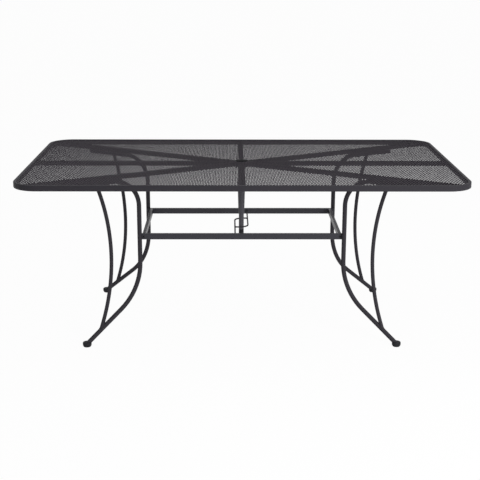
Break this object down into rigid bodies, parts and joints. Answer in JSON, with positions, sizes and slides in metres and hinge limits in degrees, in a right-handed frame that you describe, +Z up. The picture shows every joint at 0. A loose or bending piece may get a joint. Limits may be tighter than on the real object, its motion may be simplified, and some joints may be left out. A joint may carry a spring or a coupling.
{
  "type": "outdoor_dining_table",
  "caption": "Rectangular patio dining table in dark painted steel: expanded metal top in a rounded tube rim, bent tube legs, rectangular stretchers, and a lift-out cover for a pole hole.",
  "frame": {"origin": "on the floor under the middle of the table", "axes": "+X along the length of the table to the right, +Y across it to the rear, +Z up"},
  "size_m": [1.829, 1.067, 0.732],
  "materials": {
    "frame_paint": "satin powder coat, charcoal",
    "mesh_paint": "satin powder coat on expanded metal, charcoal",
    "sleeve_paint": "satin powder coat, charcoal",
    "foot_plastic": "moulded, matte black",
    "cap_plastic": "moulded, matte charcoal",
    "fastener_steel": "blackened zinc"
  },
  "bodies": {
    "table": {"brace_front_left": "frame_paint", "brace_front_right": "frame_paint", "brace_rear_left": "frame_paint", "brace_rear_right": "frame_paint", "cross_bar_front": "frame_paint", "cross_bar_rear": "frame_paint", "foot_front_left": "foot_plastic", "foot_front_right": "foot_plastic", "foot_rear_left": "foot_plastic", "foot_rear_right": "foot_plastic", "hub_collar": "frame_paint", "leg_bolts": "fastener_steel", "leg_bow_front_left": "frame_paint", "leg_bow_front_right": "frame_paint", "leg_bow_rear_left": "frame_paint", "leg_bow_rear_right": "frame_paint", "leg_inserts": "fastener_steel", "leg_main_front_left": "frame_paint", "leg_main_front_right": "frame_paint", "leg_main_rear_left": "frame_paint", "leg_main_rear_right": "frame_paint", "long_bar_left": "frame_paint", "long_bar_right": "frame_paint", "mesh_top": "mesh_paint", "pole_guide_left": "frame_paint", "pole_guide_right": "frame_paint", "rim_corner_front_left": "frame_paint", "rim_corner_front_right": "frame_paint", "rim_corner_rear_left": "frame_paint", "rim_corner_rear_right": "frame_paint", "rim_front": "frame_paint", "rim_left": "frame_paint", "rim_rear": "frame_paint", "rim_right": "frame_paint", "run_plugs": "foot_plastic", "side_bar_left": "frame_paint", "side_bar_right": "frame_paint", "stretcher_front": "frame_paint", "stretcher_plugs": "foot_plastic", "stretcher_rear": "frame_paint", "stretcher_screws": "fastener_steel"},
    "insert": {"hole_cap": "cap_plastic", "sleeve_upper": "sleeve_paint", "sleeve_lower": "sleeve_paint", "sleeve_tip": "foot_plastic"}
  },
  "joints": [
    {"name": "insert_lift", "type": "slide", "parent": "table", "child": "insert", "axis": [0, 0, 1], "range_m": [0, 0.35]}
  ]
}
